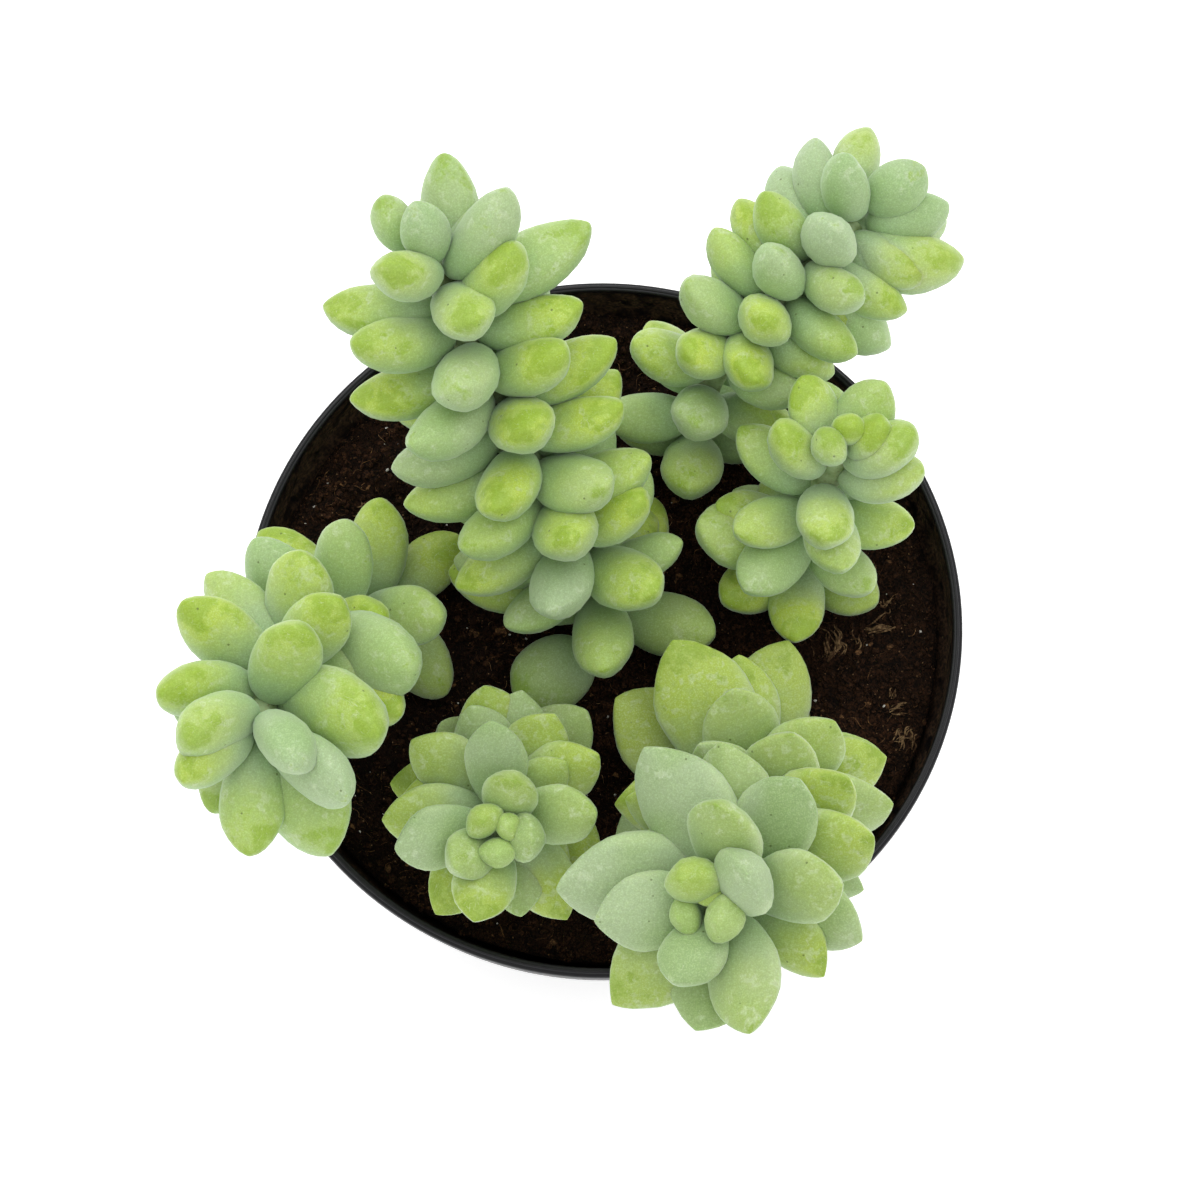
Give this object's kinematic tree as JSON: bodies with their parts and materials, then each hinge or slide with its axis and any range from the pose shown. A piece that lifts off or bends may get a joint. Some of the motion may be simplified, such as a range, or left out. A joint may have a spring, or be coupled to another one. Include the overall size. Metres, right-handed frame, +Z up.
{
  "type": "potted burros tail plant",
  "caption": "Young burro's tail succulent with plump overlapping leaves on short trailing stems, growing in a round tapered nursery pot filled with peat soil.",
  "frame": {"origin": "middle of the pot's flat underside, on the surface it stands on", "axes": "+Z up. +X and +Y are to the right and up in a picture taken from above. The big rosette leans out over the lip towards -Y, and the tall tail towards +Y and -X."},
  "size_m": [0.1165, 0.1353, 0.1529],
  "materials": {
    "pot": "thin moulded black plastic with a soft sheen",
    "soil": "loose dark peat with fibres and bits of bark and perlite",
    "tail_leaf": "plump leaf, pale grey-green under a waxy bloom that is rubbed off to yellow-green in patches",
    "rosette_leaf": "pointed fleshy leaf, light green under a thin waxy bloom",
    "loose_leaf": "plump leaf, darker green with a thin waxy bloom"
  },
  "bodies": {
    "root": {"pot": "pot", "soil": "soil", "stem_crown": "rosette_leaf", "stem_pup": "rosette_leaf", "stem_tall": "tail_leaf", "stem_short": "tail_leaf", "stem_arching": "tail_leaf", "stem_left": "tail_leaf", "fallen_leaf": "loose_leaf"}
  },
  "joints": []
}
